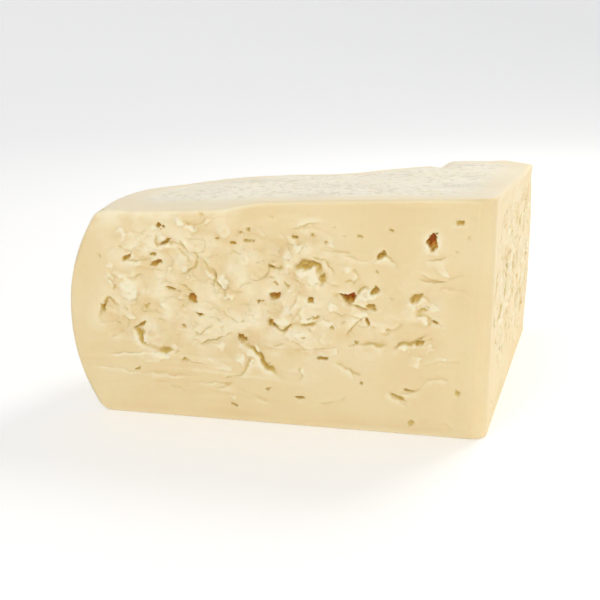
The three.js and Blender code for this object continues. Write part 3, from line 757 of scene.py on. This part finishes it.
def buildCheese():
    kind, t = outline()
    wall, pitShade, paintedShading, broken = wallGrid(kind, t)
    middle = steps["poleAt"] * wheel["radius"]
    pole = np.array([-math.cos(sideAngle / 2), math.sin(sideAngle / 2)]) * middle
    under = capGrid(wall[0], pole, steps["bottom"], 1, lambda x, y: 0 * x)[::-1]

    def marked(x, y):
        return topHeight(x, y) + topMarks(x, y)[0]

    above = capGrid(wall[-1], pole, steps["top"], steps["topCrowding"], marked)
    relief, inner = topMarks(above[..., 0], above[..., 1])
    rings = np.concatenate([under, wall, above])
    points = np.concatenate([[[*pole, 0]], rings.reshape(-1, 3), [[*pole, marked(*pole)]]])
    quads, fans = ringQuads(len(rings), len(kind)), poleFans(len(rings), len(kind))
    first, last = len(under), len(under) + len(wall)

    def spread(wallValues, topValues, underValue, poleValue):
        whole = np.full(rings.shape[:2], float(underValue))
        whole[first:last], whole[last:] = wallValues, topValues
        return np.concatenate([[underValue], whole.ravel(), [poleValue]])

    onRind = np.broadcast_to(np.where(kind == 2, crust["onRind"], 0.0), pitShade.shape)
    values = dict(
        pitShade=spread(pitShade, 0, 0, 0),
        # painted shading: above 0.5 painted as shade in hollows, below it as highlight on proud places
        paintedShading=spread(0.5 + 0.5 * paintedShading, 0.5 - crust["topHollow"] * relief, 0.5, 0.5),
        crust=spread(onRind, mix(crust["onBand"], 1, inner), crust["under"], 1),
        broken=spread(np.clip(broken, 0, 1), 0, 0, 0),
    )
    place = np.array([cadLow[0] + wheel["radius"] * mm, cadLow[1], 0])
    mesh = meshFrom("cheeseQuarter", points * mm + place, quads, fans, values)
    cheese = bpy.data.objects.new("cheeseQuarter", mesh)
    bpy.context.scene.collection.objects.link(cheese)
    print("cheese: grid of", rings.shape[0], "rings by", rings.shape[1])
    thin = cheese.modifiers.new("thin", "DECIMATE")  # fewer, larger faces where the surface is calm
    thin.ratio = steps["finished"] / (2 * len(quads) + len(fans))
    finished = bpy.data.meshes.new_from_object(cheese.evaluated_get(bpy.context.evaluated_depsgraph_get()))
    cheese.modifiers.clear()
    cheese.data = finished
    cheese.data.shade_smooth()
    print("cheese:", len(finished.polygons), "faces")
    return cheese


cheese = buildCheese()
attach(cheese, "root")
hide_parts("cheese")


# ---- the paste ----

paste = dict(
    # colours as they look in daylight, 0 to 255
    cream=(237, 214, 164), pale=(240, 220, 174), warm=(226, 196, 137),
    # smear also serves as the painted highlight on proud places, and crustShade as the painted shade in the
    # crust's hollows
    smear=(252, 241, 209), crust=(250, 243, 224), crustGrey=(240, 233, 216), crustShade=(211, 202, 174),
    # painted shade of the openings and grooves, from shallow to deep
    olive=(208, 190, 104), honey=(222, 168, 78), honeyAt=0.72, brown=(196, 106, 28),
    # each noise: scale, detail and roughness
    cloud=(34, 4, 0.5), speckle=(420, 3, 0.6), crumbs=(300, 3, 0.65), torn=(90, 3, 0.5),
    fine=(1300, 4, 0.6), coarse=(380, 2, 0.5),
    # each share: where it starts and is full, and its least and most
    paleShare=(0.36, 0.66), speckleShare=(0.55, 0.8, 0, 0.2), greyShare=(0.4, 0.7),
    crumbShare=(0.5, 0.64, 0, 0.6), crumbsByCrust=(0.76, 1, 0.12, 1), tornShare=(0.4, 0.6, 0, 0.75),
    paintedHighlightShare=(0.46, 0.13, 0, 0.88), paintedShadeShare=(0.53, 0.95, 0, 0.7), pitShadeShare=(0.03, 0.26),
    roughFrom=(0.3, 0.7), roughness=(0.44, 0.6), crustRoughness=0.14, grain=0.00006, grainStrength=0.7,
)
pasteShader = {
    "Subsurface Weight": 0.25, "Subsurface Radius": (1.0, 0.5, 0.22), "Subsurface Scale": 0.0015,
    "Specular IOR Level": 0.4, "Coat Weight": 0.08, "Coat Roughness": 0.35,
}


def paint(colour):
    # a colour of 0 to 255 as the linear numbers a shader takes
    share = np.array(colour) / 255
    linear = np.where(share < 0.04045, share / 12.92, ((share + 0.055) / 1.055) ** 2.4)
    return (*[float(v) for v in linear], 1)


def newMaterial(name, inputs):
    material = bpy.data.materials.new(name)
    material.use_nodes = True
    shader = material.node_tree.nodes["Principled BSDF"]
    for socket, value in inputs.items():
        shader.inputs[socket].default_value = value
    return material, material.node_tree, shader


def link(tree, output, node, socket):
    tree.links.new(output, node.inputs[socket])


def noiseNode(tree, place, scale, detail, roughness):
    node = tree.nodes.new("ShaderNodeTexNoise")
    node.inputs["Scale"].default_value = scale
    node.inputs["Detail"].default_value = detail
    node.inputs["Roughness"].default_value = roughness
    link(tree, place, node, "Vector")
    return node.outputs["Fac"]


def rangeNode(tree, value, fromLow, fromHigh, toLow=0, toHigh=1):
    node = tree.nodes.new("ShaderNodeMapRange")
    link(tree, value, node, "Value")
    numbers = {"From Min": fromLow, "From Max": fromHigh, "To Min": toLow, "To Max": toHigh}
    for socket, number in numbers.items():
        node.inputs[socket].default_value = number
    return node.outputs["Result"]


def mathNode(tree, kind, a, b):
    node = tree.nodes.new("ShaderNodeMath")
    node.operation = kind
    link(tree, a, node, 0)
    link(tree, b, node, 1)
    return node.outputs[0]


def blendNode(tree, share, a, b):
    # from colour a to colour b; each is a tuple or comes from another node
    node = tree.nodes.new("ShaderNodeMix")
    node.data_type = "RGBA"
    link(tree, share, node, "Factor")
    for socket, value in (("A", a), ("B", b)):
        if isinstance(value, tuple):
            node.inputs[socket].default_value = value
        else:
            link(tree, value, node, socket)
    return node.outputs["Result"]


def attributeNode(tree, name):
    node = tree.nodes.new("ShaderNodeAttribute")
    node.attribute_name = name
    return node.outputs["Fac"]


def buildPaste():
    material, tree, shader = newMaterial("cheesePaste", pasteShader)
    place = tree.nodes.new("ShaderNodeTexCoord").outputs["Object"]
    pitShade, paintedShading, crustShare, broken = (attributeNode(tree, name) for name in ("pitShade", "paintedShading", "crust", "broken"))
    cloud = noiseNode(tree, place, *paste["cloud"])
    speckle = noiseNode(tree, place, *paste["speckle"])
    paler = rangeNode(tree, cloud, *paste["paleShare"])
    colour = blendNode(tree, paler, paint(paste["cream"]), paint(paste["pale"]))
    speckled = rangeNode(tree, speckle, *paste["speckleShare"])
    colour = blendNode(tree, speckled, colour, paint(paste["warm"]))
    greyer = rangeNode(tree, cloud, *paste["greyShare"])
    skin = blendNode(tree, greyer, paint(paste["crust"]), paint(paste["crustGrey"]))
    crumbs = rangeNode(tree, noiseNode(tree, place, *paste["crumbs"]), *paste["crumbShare"])
    crumbs = mathNode(tree, "MULTIPLY", crumbs, rangeNode(tree, crustShare, *paste["crumbsByCrust"]))
    skin = blendNode(tree, crumbs, skin, paint(paste["crustShade"]))
    torn = rangeNode(tree, noiseNode(tree, place, *paste["torn"]), *paste["tornShare"])
    colour = blendNode(tree, mathNode(tree, "MULTIPLY", broken, torn), colour, paint(paste["smear"]))
    colour = blendNode(tree, crustShare, colour, skin)
    # painted highlight: proud places are painted in the pale smear colour
    colour = blendNode(tree, rangeNode(tree, paintedShading, *paste["paintedHighlightShare"]), colour, paint(paste["smear"]))
    # painted shade: hollows are painted warm on the paste and in crustShade on the crust
    shade = blendNode(tree, crustShare, paint(paste["warm"]), paint(paste["crustShade"]))
    colour = blendNode(tree, rangeNode(tree, paintedShading, *paste["paintedShadeShare"]), colour, shade)
    depths = tree.nodes.new("ShaderNodeValToRGB")  # painted shade: openings are painted from olive to brown as they deepen
    stops = depths.color_ramp.elements
    stops[0].position, stops[0].color = 0.0, paint(paste["olive"])
    stops[1].position, stops[1].color = 1.0, paint(paste["brown"])
    stops.new(paste["honeyAt"]).color = paint(paste["honey"])
    link(tree, pitShade, depths, "Fac")
    colour = blendNode(tree, rangeNode(tree, pitShade, *paste["pitShadeShare"]), colour, depths.outputs["Color"])
    link(tree, colour, shader, "Base Color")
    rough = rangeNode(tree, speckle, *paste["roughFrom"], *paste["roughness"])
    rough = mathNode(tree, "ADD", rough, rangeNode(tree, crustShare, 0, 1, 0, paste["crustRoughness"]))
    link(tree, rough, shader, "Roughness")
    fine = noiseNode(tree, place, *paste["fine"])
    coarse = noiseNode(tree, place, *paste["coarse"])
    bump = tree.nodes.new("ShaderNodeBump")
    bump.inputs["Distance"].default_value = paste["grain"]
    bump.inputs["Strength"].default_value = paste["grainStrength"]
    link(tree, mathNode(tree, "ADD", fine, coarse), bump, "Height")
    link(tree, bump.outputs["Normal"], shader, "Normal")
    return material


cheese.data.materials.clear()
cheese.data.materials.append(buildPaste())
print("paste done")


# ---- the stage, the light and the camera ----

studio = dict(
    floorRadius=2.6, floorFlat=0.9, wall=1.6, floorTurns=96, floorRings=40, innerRings=(0.25, 0.5, 0.75),
    world=0.54, worldColour=(252, 253, 255),
    keyPower=3.1, keySize=0.4, keyAt=(0.34, 0.52, 0.72), keyColour=(255, 250, 240),
    fillPower=1.02, fillSize=0.25, fillAt=(-0.12, -0.6, 0.62), fillColour=(255, 252, 246),
    sidePower=0.55, sideSize=0.3, sideAt=(0.74, -0.36, 0.18), sideColour=(255, 251, 244),
    aimHeight=0.045,
)
paperShader = {
    "Base Color": paint((248, 248, 248)), "Roughness": 0.6, "Specular IOR Level": 0.2,
    "Emission Color": paint((248, 248, 248)), "Emission Strength": 0.2,
}


def buildFloor():
    # a bowl turned about the upright axis: flat, then curving up as (distance past the flat)^2
    turns = studio["floorTurns"]
    angle = np.arange(turns) * math.tau / turns
    flat, radius = studio["floorFlat"], studio["floorRadius"]
    reach = np.concatenate([studio["innerRings"], np.linspace(flat, radius, studio["floorRings"])])
    rise = studio["wall"] * np.clip((reach - flat) / (radius - flat), 0, 1) ** 2
    x, y = reach[:, None] * np.cos(angle), reach[:, None] * np.sin(angle)
    rings = np.stack([x, y, np.broadcast_to(rise[:, None], x.shape)], -1)
    points = np.concatenate([[[0, 0, 0]], rings.reshape(-1, 3)])
    quads = ringQuads(len(reach), turns)
    fan = np.stack([np.zeros(turns, int), *ringEdges(turns)], -1)
    mesh = meshFrom("studioFloor", points, quads, fan, {})
    mesh.shade_smooth()
    floor = bpy.data.objects.new("studioFloor", mesh)
    bpy.context.scene.collection.objects.link(floor)
    mesh.materials.append(newMaterial("studioPaper", paperShader)[0])


def areaLight(name, aim):
    light = bpy.data.lights.new(name + "Light", "AREA")
    light.shape, light.size, light.energy = "DISK", studio[name + "Size"], studio[name + "Power"]
    light.color = paint(studio[name + "Colour"])[:3]
    lamp = bpy.data.objects.new(name + "Light", light)
    lamp.location = studio[name + "At"]
    lamp.rotation_euler = (aim - lamp.location).to_track_quat("-Z", "Y").to_euler()
    bpy.context.scene.collection.objects.link(lamp)


buildFloor()
for name in ("key", "fill", "side"):
    areaLight(name, Vector((0, 0, studio["aimHeight"])))
world = bpy.data.worlds.new("studioLight")
world.use_nodes = True
background = world.node_tree.nodes["Background"]
background.inputs["Color"].default_value = paint(studio["worldColour"])
background.inputs["Strength"].default_value = studio["world"]
bpy.context.scene.world = world
bpy.context.scene.view_settings.view_transform = "Standard"
print("stage and light done")

# where the photograph was taken from, in millimetres from the corner of the cut faces; it looks at the cheese
view = dict(fromCorner=(8.3, -364.6, 152.5), yaw=12.2, pitch=15.3, lens=62)
camera = bpy.data.objects.new("camera", bpy.data.cameras.new("camera"))
bpy.context.scene.collection.objects.link(camera)
bpy.context.scene.camera = camera
cornerAt = Vector((cadLow[0] + wheel["radius"] * mm, cadLow[1], 0))
camera.location = cornerAt + Vector(view["fromCorner"]) * mm
yaw, pitch = math.radians(view["yaw"]), math.radians(view["pitch"])
way = Vector((-math.sin(yaw) * math.cos(pitch), math.cos(yaw) * math.cos(pitch), -math.sin(pitch)))
camera.rotation_euler = way.to_track_quat("-Z", "Y").to_euler()
camera.data.lens = view["lens"]
camera.data.clip_start = 0.01
